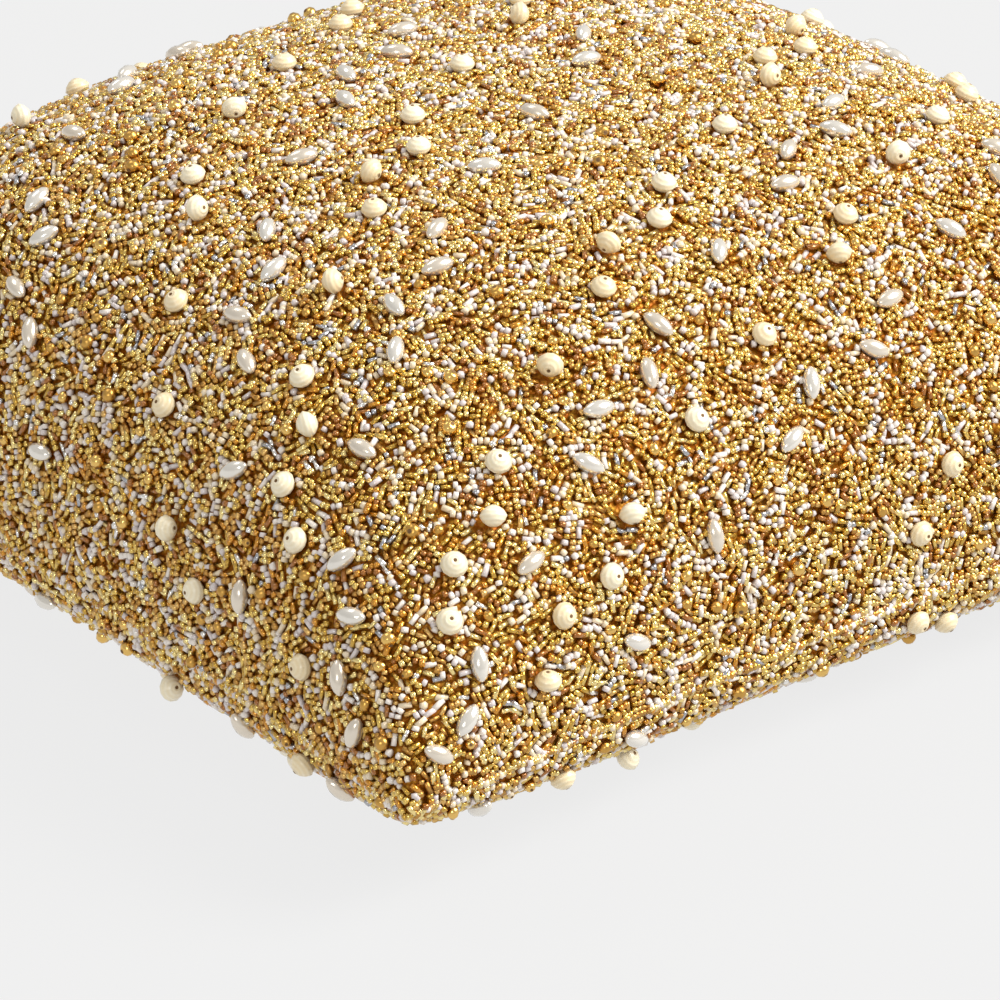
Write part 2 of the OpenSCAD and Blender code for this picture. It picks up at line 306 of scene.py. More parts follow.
ground = {1: surface_of(half_cloths["left"], half_cloths["right"]), -1: surface_of(half_cloths["back"])}
for name, piece in half_cloths.items():
    up = -1 if name == "back" else 1
    size, area = cut_size(piece)
    turn_in(piece, up, TURN_TO, TURN_RISE)
    thicken(piece, CLOTH)
    cloth_finish.wear(piece)
    if name == "back":
        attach(piece, "back_half")
        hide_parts("back_beaded_cloth")
    else:
        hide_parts("front_beaded_cloth")
        bend_with_mouth(piece)

# ---- Rice pearls ----
# Cream glass pearls shaped like a grain of rice, with a nacre coat. Each is strung through its
# length and lies along the cloth.

# rice pearls, shell beads and gilt rounds stand in the pile, spread evenly with no rows
PLASTIC = 1.32471795724475              # the plastic number, whose powers spread points evenly
SPREAD_POWER = 1.4
TURN_STEP = radians(137.5)
PLACES = {1: 310, -1: 240}
BEAD_SPACING = 9 * MM
SEAM_CLEAR = 4.7 * MM
REST_CLEAR = 5.3 * MM
ZIP_CLEAR = 15 * MM
ZIP_Y = HALF_HEIGHT - 5 * MM
ZIP_MARGIN = 4 * MM
LAST_ANGLE = radians(89)
KIND_TURNS = ("rice", "shell", "rice", "shell", "gilt")
PILE_DEPTH = 1.7 * MM


def normals_at(a, b, up):
    probe = radians(0.5)
    along = form(a + probe, b, 0, up) - form(a - probe, b, 0, up)
    over = form(a, b + probe, 0, up) - form(a, b - probe, 0, up)
    normal = np.cross(along, over) * up
    return normal / np.linalg.norm(normal, axis=-1, keepdims=True)


def large_places(up):
    """Every large bead of one half: its kind, number, place, normal."""
    i = np.arange(1, PLACES[up] + 1)
    u = 2 * np.mod(0.5 + i / PLASTIC, 1) - 1
    v = 2 * np.mod(0.5 + i / PLASTIC ** 2, 1) - 1
    a = np.sign(u) * QUARTER * np.abs(u) ** SPREAD_POWER
    b = np.sign(v) * QUARTER * np.abs(v) ** SPREAD_POWER
    p = form(a, b, 0, up)
    n = normals_at(a, b, up)
    near = np.linalg.norm(p[:, None] - p[None], axis=-1) < BEAD_SPACING
    room = ~np.tril(near, -1).any(1)
    by_zip = (p[:, 1] > ZIP_Y - ZIP_MARGIN) & (np.abs(p[:, 2] - SEAM_Z) < ZIP_CLEAR)
    fits = (up * (p[:, 2] - SEAM_Z) > SEAM_CLEAR) & (p[:, 2] > REST_CLEAR) & ~by_zip & room
    fits &= np.maximum(np.abs(a), np.abs(b)) < LAST_ANGLE
    return [(KIND_TURNS[k % 5], int(k), p[k - 1], n[k - 1]) for k in i[fits]]


large = {up: large_places(up) for up in (1, -1)}


def turned_to(normal, spin):
    """The turn that stands a bead up along a normal and spins it about itself."""
    n = Vector(normal)
    tip = Matrix.Rotation(np.arccos(np.clip(n.z, -1, 1)), 3, "Y")
    return Matrix.Rotation(np.arctan2(n.y, n.x), 3, "Z") @ tip @ Matrix.Rotation(spin, 3, "Z")


def model_ring(piece, height, scale, rise=0):
    """Selects the ring of points at a height, then draws it in and moves it up."""
    bpy.ops.object.mode_set(mode="EDIT")
    bpy.ops.mesh.select_mode(type="VERT")
    bpy.ops.mesh.select_all(action="DESELECT")
    bpy.ops.object.mode_set(mode="OBJECT")
    for vertex in piece.data.vertices:
        vertex.select = bool(abs(vertex.co.z - height) < 1e-6)
    bpy.ops.object.mode_set(mode="EDIT")
    bpy.ops.transform.resize(value=(scale, scale, 1))
    bpy.ops.transform.translate(value=(0, 0, rise))
    bpy.ops.object.mode_set(mode="OBJECT")


def new_ball(radius, segments, rings):
    clear_selection()
    bpy.ops.mesh.primitive_uv_sphere_add(segments=segments, ring_count=rings, radius=radius)
    piece = bpy.context.object
    piece.data.uv_layers[0].name = "own_map"
    bpy.ops.object.shade_smooth()
    return piece


def take_model(piece, hole=0):
    """The shape of a modelled bead, which then leaves the scene. Faces within hole wear a dark painted
    shade.
    """
    mesh = piece.data
    points = np.array([v.co for v in mesh.vertices])
    faces = [list(f.vertices) for f in mesh.polygons]
    smooth = np.array([f.use_smooth for f in mesh.polygons])
    drilled = np.array([np.hypot(*points[f][:, :2].T).max() < hole for f in faces])
    uv = np.array([corner.uv for corner in mesh.uv_layers["own_map"].data])
    bpy.data.objects.remove(piece)
    return points, faces, smooth, drilled, uv


def sew_on(name, model, turns, places, finishes, tints):
    """One piece made of many copies of a bead: turns are 3 x 3, tints pick the finish."""
    points, faces, smooth, drilled, uv = model
    count, per = len(places), len(points)
    spread = np.einsum("nij,vj->nvi", turns, points) + places[:, None]
    sizes = np.array([len(f) for f in faces])
    corner = np.concatenate([np.array(f) for f in faces])
    corners = (corner[None] + per * np.arange(count)[:, None]).ravel()
    starts = np.concatenate([[0], np.cumsum(np.tile(sizes, count))[:-1]])
    mesh = bpy.data.meshes.new(name)
    mesh.vertices.add(count * per)
    mesh.vertices.foreach_set("co", spread.ravel())
    mesh.loops.add(len(corners))
    mesh.loops.foreach_set("vertex_index", corners)
    mesh.polygons.add(len(starts))
    mesh.polygons.foreach_set("loop_start", starts)
    mesh.polygons.foreach_set("use_smooth", np.tile(smooth, count))
    wears = np.repeat(tints[:, None], len(faces), 1)
    for finish in finishes:
        mesh.materials.append(finish.material)
    # faces inside a bead's hole wear a dark painted shade
    if drilled.any():
        mesh.materials.append(shaded_hole_finish.material)
        wears[:, drilled] = len(finishes)
    mesh.polygons.foreach_set("material_index", wears.ravel())
    mesh.uv_layers.new(name="own_map").data.foreach_set("uv", np.tile(uv.ravel(), count))
    mesh.update(calc_edges=True)
    piece = bpy.data.objects.new(name, mesh)
    bpy.context.scene.collection.objects.link(piece)
    return piece


def fix_on(name, model, turns, places, finishes, tints, up, nodes=(), split=False):
    """Sews beads on one half. Those on the front are split into a left and a right piece."""
    groups = {"_left": places[:, 0] < 0, "_right": places[:, 0] >= 0}
    if up < 0 and not split:
        groups = {"": np.ones(len(places), bool)}
    for group, chosen in groups.items():
        full = f"back_{name}{group}" if up < 0 else f"front_{name}{group}"
        if not chosen.any():
            continue
        piece = sew_on(full, model, turns[chosen], places[chosen], finishes, tints[chosen])
        if nodes:
            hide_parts(*nodes)
        if up < 0:
            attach(piece, "back_half")
        else:
            bend_with_mouth(piece)


# painted shade: the dark colour given to the faces inside every bead hole
shaded_hole_finish = Finish("bead_hole_painted_shade", (0.20, 0.11, 0.045), roughness=0.9)

PEARL_LENGTH = 8 * MM
PEARL_WIDTH = 4 * MM
PEARL_RINGS = 8
PEARL_TAPER = 0.24
PEARL_END = 0.1 * MM
pearl_finishes = [
    Finish("cream_pearl", (0.74, 0.66, 0.55), metallic=0.65, roughness=0.24, coat_weight=0.7,
           coat_roughness=0.12),
    Finish("white_pearl", (0.78, 0.74, 0.67), metallic=0.65, roughness=0.2, coat_weight=0.8,
           coat_roughness=0.1),
]
for finish in pearl_finishes:
    finish.bump(finish.noise(420, 2), 0.0003, 0.35)
pearl = new_ball(PEARL_WIDTH / 2, 10, PEARL_RINGS)
bpy.ops.object.mode_set(mode="EDIT")
bpy.ops.mesh.select_all(action="SELECT")
bpy.ops.transform.resize(value=(1, 1, PEARL_LENGTH / PEARL_WIDTH))
bpy.ops.object.mode_set(mode="OBJECT")
for ring in range(PEARL_RINGS + 1):
    angle = pi * ring / PEARL_RINGS
    drawn_in = max(np.sin(angle), 0.01) ** PEARL_TAPER
    model_ring(pearl, PEARL_LENGTH / 2 * np.cos(angle), drawn_in, -np.cos(angle) * PEARL_END)
pearl_model = take_model(pearl)
lying = Matrix.Rotation(-QUARTER, 3, "X")
for up, beads in large.items():
    chosen = [(k, p, n) for kind, k, p, n in beads if kind == "rice"]
    turns = np.array([turned_to(n, k * TURN_STEP) @ lying for k, p, n in chosen])
    places = np.array([p + n * (PEARL_WIDTH / 2 - PILE_DEPTH) for k, p, n in chosen])
    tints = np.array([k % 2 for k, p, n in chosen])
    node = "front_rice_pearls" if up > 0 else "back_rice_pearls"
    fix_on("rice_pearls", pearl_model, turns, places, pearl_finishes, tints, up, [node])

# ---- Turned shell beads ----
# Ivory mother-of-pearl turned to a double cone with a fine groove that winds round it, and a
# hole through its middle. Most lie flat like a button, and some stand on edge.

SHELL_WIDTH = 6 * MM
SHELL_HALF = SHELL_WIDTH / 2 * 0.8
SHELL_PROUD = 0.3 * MM
SHELL_TURNS = 9
SHELL_HOLE = 0.5 * MM
shell_finishes = [
    Finish("ivory_shell", (0.78, 0.67, 0.46), roughness=0.38, coat_weight=0.5, coat_roughness=0.25),
    Finish("pale_shell", (0.82, 0.74, 0.58), roughness=0.34, coat_weight=0.5, coat_roughness=0.25),
]
painted_groove_shade = ((0.74, 0.59, 0.35), (0.79, 0.68, 0.46))
on_ridge = ((0.80, 0.69, 0.47), (0.84, 0.77, 0.59))
# painted shade: each shell is darker down in its winding groove and lighter on the ridges, mixed with a
# random tone of the shell
for finish, dark, light in zip(shell_finishes, painted_groove_shade, on_ridge):
    groove = finish.wound(SHELL_TURNS)
    finish.put(finish.blend(groove * 0.6 + finish.noise(300, 2) * 0.4, dark, light),
               finish.shader.inputs["Base Color"])
    finish.bump(groove, 0.0002, 0.35)
shell = new_ball(SHELL_WIDTH / 2, 12, 8)
# the radius and height of each ring, from the hole out to the belt
shell_rings = ((0, 1.7), (0.42, 2.35), (1.35, 1.98), (2.4, 1.1), (SHELL_WIDTH / 2 / MM, 0))
for ring, (radius, height) in enumerate(shell_rings):
    angle = QUARTER * ring / 4
    for side in (1, -1) if height else (1,):
        start = side * SHELL_WIDTH / 2 * np.cos(angle)
        across = radius * MM / (SHELL_WIDTH / 2 * np.sin(angle)) if ring else 1
        model_ring(shell, start, across, side * height * MM - start)
shell_model = take_model(shell, hole=SHELL_HOLE)
on_edge = Matrix.Rotation(radians(75), 3, "X")
for up, beads in large.items():
    chosen = [(k, p, n, k % 3 == 0) for kind, k, p, n in beads if kind == "shell"]
    turns = np.array([
        turned_to(n, k * TURN_STEP) @ (on_edge if edge else Matrix.Identity(3))
        for k, p, n, edge in chosen])
    places = np.array([
        p + n * ((SHELL_WIDTH / 2 + SHELL_PROUD if edge else SHELL_HALF) - PILE_DEPTH)
        for k, p, n, edge in chosen])
    tints = np.array([k % 4 // 2 for k, p, n, edge in chosen])
    node = "front_bicone_beads" if up > 0 else "back_bicone_beads"
    fix_on("shell_beads", shell_model, turns, places, shell_finishes, tints, up, [node])

# ---- Gilt rounds ----
# Hollow gilt metal beads, their hole painted dark as the shade inside them. Beside the large ones, smaller
# ovals are sewn in at random among the glass beads.

GILT_WIDTH = 3.4 * MM
GILT_END_IN = 0.7 * MM
GILT_SHOULDER = 0.62
GILT_SHOULDER_OUT = 0.1 * MM
GILT_HOLE = 0.8 * MM
SMALL_GILT = {1: 230, -1: 150}
SMALL_GILT_APART = 5.5 * MM
SMALL_GILT_REST_CLEAR = 3 * MM
SMALL_GILT_STAND = 1.3 * MM
gilt_finishes = [
    Finish("bright_gilt", (0.78, 0.50, 0.15), metallic=1.0, roughness=0.25),
    Finish("dull_gilt", (0.58, 0.33, 0.08), metallic=1.0, roughness=0.34),
]
for finish in gilt_finishes:
    finish.bump(finish.noise(900, 2), 0.0002, 0.4)
gilt = new_ball(GILT_WIDTH / 2, 10, 6)
for side in (1, -1):
    model_ring(gilt, side * GILT_WIDTH / 2, 1, -side * GILT_END_IN)
    shoulder = side * GILT_WIDTH / 2 * np.cos(pi / 6)
    model_ring(gilt, shoulder, GILT_SHOULDER, side * GILT_SHOULDER_OUT)
gilt_model = take_model(gilt, hole=GILT_HOLE)


def spread_over(triangles, count, rng):
    """Random places spread evenly over a surface, with its normals."""
    sides = np.cross(triangles[:, 1] - triangles[:, 0], triangles[:, 2] - triangles[:, 0])
    areas = np.linalg.norm(sides, axis=1)
    pick = rng.choice(len(triangles), count, p=areas / areas.sum())
    r, s = np.sqrt(rng.random(count)), rng.random(count)
    weights = np.stack([1 - r, r * (1 - s), r * s], 1)
    return np.einsum("nk,nkj->nj", weights, triangles[pick]), sides[pick] / areas[pick, None]


rng = np.random.default_rng(11)
small_gilt = {}
for up, beads in large.items():
    chosen = [(k, p, n) for kind, k, p, n in beads if kind == "gilt"]
    turns = [turned_to(n, k * TURN_STEP) @ Matrix.Rotation(k, 3, "X") for k, p, n in chosen]
    places = [p for k, p, n in chosen]
    tints = [k // 5 % 2 for k, p, n in chosen]
    taken = [p for kind, k, p, n in beads]
    small_gilt[up] = []
    for place, normal in zip(*spread_over(ground[up], 3 * SMALL_GILT[up], rng)):
        apart = np.linalg.norm(np.array(taken) - place, axis=1).min()
        clear = apart > SMALL_GILT_APART and place[2] > SMALL_GILT_REST_CLEAR
        if clear and len(small_gilt[up]) < SMALL_GILT[up]:
            taken.append(place)
            small_gilt[up].append(place)
            size = rng.uniform(0.7, 0.95)
            oval = Matrix.Diagonal((size * 0.85, size * 0.85, size * 1.1))
            spin = Matrix.Rotation(rng.uniform(0.5, 1.6), 3, "X")
            turns.append(turned_to(normal, rng.uniform(0, tau)) @ spin @ oval)
            places.append(place + normal * (SMALL_GILT_STAND + rng.uniform(-0.2, 0.3) * MM))
            tints.append(int(rng.integers(2)))
    node = "front_gilt_beads" if up > 0 else "back_gilt_beads"
    fix_on("gilt_rounds", gilt_model, np.array(turns), np.array(places), gilt_finishes, np.array(tints),
           up, [node])

# ---- Seed and bugle beads ----
# Round glass seeds and short tubes, sewn on a few at a time. Neighbouring stitches lie side by
# side in small patches, each running its own way, and single beads fill what gaps are left.

SEED_WIDTH = 1.65 * MM
SEED_BALL = SEED_WIDTH * 0.575          # six-sided, so a little wider than the bead it stands for
SEED_END_IN = 0.35 * MM
BUGLE_WIDTH = 1.25 * MM
BUGLE_LENGTH = 2.5 * MM
ROW = 1.5 * MM
THREAD_GAP = 0.1 * MM
SEED_PITCH = 1.3 * MM
PATCH = 5.0 * MM
PATCH_REACH = 6.5 * MM
REPEAT = 0.3
ROW_WANDER = 0.2 * MM
WAY_WANDER = 0.25
LEAN = (0.7, 1.0)
LEAST_APART = 1.0 * MM
GAP = 1.1 * MM
GAP_TRIES = 5
LARGE_REACH = {"rice": 1.7 * MM, "shell": 2.8 * MM, "gilt": 1.8 * MM}
PEARL_REACH = 2.3 * MM
SMALL_GILT_REACH = 1.5 * MM
BEAD_SIZES = (0.07, 0.82, 1.18)         # spread, least, most
HEAVE = 0.2 * MM
PATCH_HEAVE = 0.15 * MM
LOWEST, HIGHEST = -0.35 * MM, 0.45 * MM

seed = new_ball(SEED_BALL, 6, 3)
for side in (1, -1):
    model_ring(seed, side * SEED_BALL, 1, -side * SEED_END_IN)
seed_model = take_model(seed)
clear_selection()
bpy.ops.mesh.primitive_cylinder_add(vertices=6, radius=BUGLE_WIDTH / 2, depth=BUGLE_LENGTH)
bugle = bpy.context.object
bugle.data.uv_layers[0].name = "own_map"
bpy.ops.object.shade_smooth_by_angle(angle=radians(65))
bugle_model = take_model(bugle)

bead_finishes = {
    "lined_gold": [
        Finish("lined_gold_light", (0.84, 0.66, 0.26), metallic=0.85, roughness=0.22, coat_weight=0.8),
        Finish("lined_gold", (0.72, 0.49, 0.11), metallic=0.85, roughness=0.24, coat_weight=0.8),
        Finish("lined_gold_deep", (0.56, 0.33, 0.04), metallic=0.85, roughness=0.26, coat_weight=0.8),
    ],
    "matt_gold": [
        Finish("matt_gold", (0.70, 0.44, 0.15), metallic=1.0, roughness=0.36),
        Finish("matt_bronze", (0.50, 0.27, 0.07), metallic=1.0, roughness=0.4),
    ],
    "opal": [
        Finish("opal_white", (0.77, 0.70, 0.63), roughness=0.25, coat_weight=0.9),
        Finish("opal_lilac", (0.62, 0.55, 0.53), roughness=0.25, coat_weight=0.9),
        Finish("opal_cream", (0.74, 0.61, 0.42), roughness=0.28, coat_weight=0.9),
    ],
    "amber": [
        Finish("amber", (0.60, 0.26, 0.015), metallic=0.7, roughness=0.24, coat_weight=0.8),
        Finish("brown_glass", (0.34, 0.12, 0.01), metallic=0.5, roughness=0.24, coat_weight=0.8),
    ],
    "silver": [
        Finish("lined_silver", (0.82, 0.80, 0.76), metallic=0.9, roughness=0.2, coat_weight=0.8),
        Finish("steel_grey", (0.42, 0.42, 0.44), metallic=0.9, roughness=0.26, coat_weight=0.8),
    ],
}
# kind of bead, finish, how often it turns up
MIX = (
    ("seed", "lined_gold", 0.30), ("seed", "matt_gold", 0.15), ("seed", "opal", 0.18),
    ("seed", "amber", 0.08), ("seed", "silver", 0.015),
    ("bugle", "lined_gold", 0.14), ("bugle", "matt_gold", 0.02), ("bugle", "opal", 0.045),
    ("bugle", "amber", 0.05), ("bugle", "silver", 0.015),
)
is_bugle = np.array([kind == "bugle" for kind, finish, share in MIX])
shares = np.array([share for kind, finish, share in MIX])
shares /= shares.sum()


def tree_of(places):
    tree = KDTree(len(places))
    for k, place in enumerate(places):
        tree.insert(place, k)
    tree.balance()
    return tree


def lay_against(triangles, places):
    """The nearest places on a surface, and the way that it faces there."""
    skin = BVHTree.FromPolygons(
        triangles.reshape(-1, 3).tolist(), np.arange(len(triangles) * 3).reshape(-1, 3).tolist())
    hits = [skin.find_nearest(Vector(p)) for p in places]
    return np.array([h[0] for h in hits]), np.array([h[1] for h in hits])


def along_cloth(ways, facing, lean):
    """Ways turned into the cloth's plane, all but a small lean."""
    ways = ways - (ways * facing).sum(1, keepdims=True) * facing * lean
    return ways / np.linalg.norm(ways, axis=1, keepdims=True)


def sewn_runs(up, rng):
    """The small beads of one half, in runs: mix entry, place, run direction, normal, patch."""
    triangles = ground[up]
    area = np.linalg.norm(np.cross(
        triangles[:, 1] - triangles[:, 0], triangles[:, 2] - triangles[:, 0]), axis=1).sum() / 2
    patches = int(area / PATCH ** 2)
    centres, normals = spread_over(triangles, patches, rng)
    start = along_cloth(rng.normal(size=(patches, 3)), normals, 1)
    beside = np.cross(normals, start)
    rows = int(2 * PATCH_REACH / ROW) + 1
    length = int(2 * PATCH_REACH / SEED_PITCH) + 1
    drawn = rng.choice(len(MIX), (patches, rows, length), p=shares)
    repeated = rng.random(drawn.shape) < REPEAT
    for k in range(1, length):
        drawn[:, :, k] = np.where(repeated[:, :, k], drawn[:, :, k - 1], drawn[:, :, k])
    pitch = np.where(is_bugle[drawn], BUGLE_LENGTH + THREAD_GAP, SEED_PITCH)
    begins = PATCH_REACH + rng.random((patches, rows, 1)) * 2 * SEED_PITCH
    along = np.cumsum(pitch, -1) - pitch / 2 - begins
    over = np.broadcast_to((np.arange(rows) - rows / 2)[None, :, None] * ROW, along.shape)
    over = over + rng.normal(0, ROW_WANDER, along.shape)
    owner = np.broadcast_to(np.arange(patches)[:, None, None], along.shape)
    inside = along ** 2 + over ** 2 < PATCH_REACH ** 2
    drawn, along, over, owner = (x[inside] for x in (drawn, along, over, owner))
    places = centres[owner] + along[:, None] * start[owner] + over[:, None] * beside[owner]
    tree = tree_of(centres)
    own = np.fromiter((tree.find(p)[1] for p in places), int, len(places)) == owner
    drawn, places, owner = drawn[own], places[own], owner[own]
    places, facing = lay_against(triangles, places)
    ways = start[owner] + rng.normal(0, WAY_WANDER, (len(owner), 3))
    ways = along_cloth(ways, facing, rng.uniform(*LEAN, (len(owner), 1)))
    return drawn, places, ways, facing, owner


def clear_of_large(up, places):
    """Which small beads are clear of the large ones."""
    free = np.ones(len(places), bool)
    for kind, k, p, n in large[up]:
        away = places - p
        if kind == "rice":
            along = np.array(turned_to(n, k * TURN_STEP) @ Vector((0, 1, 0)))
            away = away - (away @ along).clip(-PEARL_REACH, PEARL_REACH)[:, None] * along
        free &= (away ** 2).sum(1) > LARGE_REACH[kind] ** 2 + PILE ** 2
    for p in small_gilt[up]:
        free &= ((places - p) ** 2).sum(1) > SMALL_GILT_REACH ** 2
    return free


def thin_out(places, owner, least):
    """Which beads stay when one patch runs into the next."""
    tree = tree_of(places)
    stay = np.ones(len(places), bool)
    for k, place in enumerate(places):
        if stay[k]:
            for _, other, _ in tree.find_range(place, least):
                if other > k and owner[other] != owner[k]:
                    stay[other] = False
    return stay


def gap_fillers(up, rng, places, ways, drawn):
    """Places for single seeds, wherever no bead lies near."""
    reach = (ways * BUGLE_LENGTH * 0.3)[is_bugle[drawn]]
    held = np.concatenate([places, places[is_bugle[drawn]] + reach, places[is_bugle[drawn]] - reach])
    tree = tree_of(held)
    tries, facing = spread_over(ground[up], GAP_TRIES * len(places), rng)
    empty = np.fromiter((tree.find(p)[2] > GAP for p in tries), bool, len(tries))
    tries, facing = tries[empty], facing[empty]
    free = clear_of_large(up, tries)
    tries, facing = tries[free], facing[free]
    stay = thin_out(tries, np.arange(len(tries)), GAP)
    return tries[stay], facing[stay]


for up in (1, -1):
    drawn, places, ways, facing, owner = sewn_runs(up, rng)
    keep = clear_of_large(up, places)
    drawn, places, ways, facing, owner = (x[keep] for x in (drawn, places, ways, facing, owner))
    keep = thin_out(places, owner, LEAST_APART)
    drawn, places, ways, facing, owner = (x[keep] for x in (drawn, places, ways, facing, owner))
    more, more_facing = gap_fillers(up, rng, places, ways, drawn)
    seeds = shares * ~is_bugle
    drawn = np.concatenate([drawn, rng.choice(len(MIX), len(more), p=seeds / seeds.sum())])
    ways = np.concatenate([ways, along_cloth(rng.normal(size=more.shape), more_facing, 0.8)])
    owner = np.concatenate([owner, np.zeros(len(more), int)])
    places, facing = np.concatenate([places, more]), np.concatenate([facing, more_facing])
    size_spread, smallest, largest = BEAD_SIZES
    sizes = rng.normal(1, size_spread, len(places)).clip(smallest, largest)
    heave = rng.normal(0, HEAVE, len(places))
    heave += rng.normal(0, PATCH_HEAVE, owner.max() + 1)[owner]
    roll = rng.random(len(places)) * tau
    radius = np.where(is_bugle[drawn], BUGLE_WIDTH, SEED_WIDTH) / 2
    centres = places + facing * (radius * sizes + heave.clip(LOWEST, HIGHEST))[:, None]
    centres[:, 2] = np.maximum(centres[:, 2], radius * sizes)
    first = np.cross(ways, facing)
    first /= np.linalg.norm(first, axis=1, keepdims=True)
    second = np.cross(ways, first)
    x_axis = first * np.cos(roll)[:, None] + second * np.sin(roll)[:, None]
    y_axis = np.cross(ways, x_axis)
    turns = np.stack([x_axis, y_axis, ways], -1) * sizes[:, None, None]
    for entry, (kind, finish_name, share) in enumerate(MIX):
        chosen = drawn == entry
        finishes = bead_finishes[finish_name]
        tints = rng.integers(0, len(finishes), chosen.sum())
        model = bugle_model if kind == "bugle" else seed_model
        fix_on(f"{finish_name}_{kind}s", model, turns[chosen], centres[chosen], finishes, tints,
               up, split=True)

# ---- Wadding ----
# A soft white layer between the beaded cloth and the lining, which gives the bag its full,
# cushioned shape. It is cut short of the mouth, clear of the zip tapes.

WADDING_IN = 2.5 * MM
WADDING = 5.4 * MM
WADDING_TOP = {1: 2 * 23 / 24 - 1, -1: 2 * 22 / 24 - 1}
WADDING_SWELL = 0.8 * MM
WADDING_SWELL_SIZE = 9 * MM
wadding_finish = Finish("white_wadding", (0.78, 0.76, 0.70), roughness=0.95, sheen_weight=0.5)
fluff = wadding_finish.noise(260, 6)
wadding_finish.put(
    wadding_finish.blend(fluff, (0.66, 0.64, 0.58), (0.86, 0.85, 0.80)),
    wadding_finish.shader.inputs["Base Color"])
wadding_finish.bump(fluff, 0.0008)
HALVES = {"left": (1, (-1, 0)), "right": (1, (0, 1)), "back": (-1, (-1, 1))}


def soft_noise(x, y, size):
    """Smooth swells of a given size, from 0 to 1."""
    u, v = x / size, y / size
    swell = np.sin(u + 1.7 * np.sin(0.6 * v)) * np.cos(1.1 * v + 1.3 * np.sin(0.7 * u + 1))
    return 0.5 + 0.5 * swell


def lay_inside(piece, inset, up, across, steps, top=1):
    """Moves the inner face of a thickened layer to its own depth into the padding."""
    u = np.tile(np.linspace(0, 1, steps[0] + 1), steps[1] + 1)
    v = np.repeat(np.linspace(0, 1, steps[1] + 1), steps[0] + 1)
    a, b = (across[0] + (across[1] - across[0]) * u) * QUARTER, (v * (1 + top) - 1) * QUARTER
    flat = form(a, b, 0, up)
    swell = WADDING_SWELL * soft_noise(flat[:, 0], flat[:, 1], WADDING_SWELL_SIZE)
    inner = form(a, b, inset - swell, up)
    for vertex, place in zip(piece.data.vertices[len(inner):], inner):
        vertex.co = place


def wear_layer(piece, half, finish, node):
    """Puts a finished layer on its half of the bag."""
    finish.wear(piece)
    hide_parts(f"back_{node}" if half == "back" else f"front_{node}")
    if half == "back":
        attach(piece, "back_half")
    else:
        bend_with_mouth(piece)


for half, (up, across) in HALVES.items():
    steps = (48 if half == "back" else 24, 48)
    piece = lay_on_form(f"wadding_{half}", WADDING_IN, up, across, steps, WADDING_TOP[up])
    thicken(piece, WADDING)
    lay_inside(piece, WADDING_IN + WADDING, up, across, steps, WADDING_TOP[up])
    wear_layer(piece, half, wadding_finish, "wadding")

# ---- Satin lining ----
# Champagne satin, cut a little full so that it lies in soft swells, sewn into the same seams as
# the cloth. Its top edges are turned towards the zip and stitched to the back of the tapes.

LINING_IN = 8.25 * MM
LINING = 0.2 * MM
LINING_SWELL = 0.4 * MM
LINING_SWELL_SIZE = 7 * MM
LINING_TURN_TO = 124.3 * MM
LINING_TURN_RISE = 3.5 * MM
POCKET_SPREAD = (62 * MM, 46 * MM)
POCKET_Y = -5 * MM
satin_finish = Finish("champagne_satin", (0.60, 0.45, 0.26), roughness=0.32, sheen_weight=0.25,
                      anisotropic=0.4)
sheen_bands = satin_finish.noise(55, 3, (1, 0.35, 1))
# painted sheen: the satin's colour runs lighter and darker in long soft bands
satin_finish.put(
    satin_finish.blend(sheen_bands, (0.50, 0.36, 0.19), (0.68, 0.53, 0.33)),
    satin_finish.shader.inputs["Base Color"])
satin_finish.bump(satin_finish.ribs(0, 0.4 * MM) * 0.3 + sheen_bands * 0.7, 0.0003, 0.5)
for half, (up, across) in HALVES.items():
    steps = (64 if half == "back" else 32, 64)
    piece = lay_on_form(f"satin_lining_{half}", LINING_IN, up, across, steps)
    for vertex in piece.data.vertices:
        x, y, z = vertex.co
        past_pocket = np.hypot(x / POCKET_SPREAD[0], (y - POCKET_Y) / POCKET_SPREAD[1]) - 1
        clear = min(1, max(0, past_pocket * 3)) if up < 0 else 1
        vertex.co.z = z - up * LINING_SWELL * clear * soft_noise(x, 0.4 * y, LINING_SWELL_SIZE)
    size, area = cut_size(piece)
    turn_in(piece, up, LINING_TURN_TO, LINING_TURN_RISE)
    thicken(piece, LINING)
    wear_layer(piece, half, satin_finish, "lining")

# ---- Slip pocket ----
# A patch of the same satin on the back lining, stitched round three sides and open towards the
# mouth, where its hem is turned down.

pocket_low, pocket_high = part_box("lining_pocket")
POCKET_CORNER = 8 * MM
POCKET_HEM = 6 * MM
HEM_LIFT = 0.12 * MM
POCKET_SLACK = 0.2 * MM
POCKET_OFF = 0.25 * MM
pocket_half = (pocket_high - pocket_low) / 2
pocket_middle = (pocket_high + pocket_low) / 2
clear_selection()
bpy.ops.mesh.primitive_grid_add(x_subdivisions=44, y_subdivisions=32, size=2)
pocket = bpy.context.object
pocket.name = pocket.data.name = "slip_pocket"
for vertex in pocket.data.vertices:
    x, y = vertex.co.x * pocket_half.x, vertex.co.y * pocket_half.y
    past = Vector((max(0, abs(x) - pocket_half.x + POCKET_CORNER),
                   max(0, abs(y) - pocket_half.y + POCKET_CORNER)))
    if past.x > 0 and past.y > 0:
        round_off = past.normalized() * max(past)
        x, y = (np.sign(q) * (h - POCKET_CORNER + r)
                for q, h, r in ((x, pocket_half.x, round_off.x), (y, pocket_half.y, round_off.y)))
    slack = max(0, y / pocket_half.y) * (1 - (x / pocket_half.x) ** 2)
    hem = HEM_LIFT if y > pocket_half.y - POCKET_HEM else 0
    off_lining = POCKET_OFF + POCKET_SLACK * slack + hem
    vertex.co = (pocket_middle.x + x, pocket_middle.y + y, pocket_low.z + off_lining)
thicken(pocket, LINING)
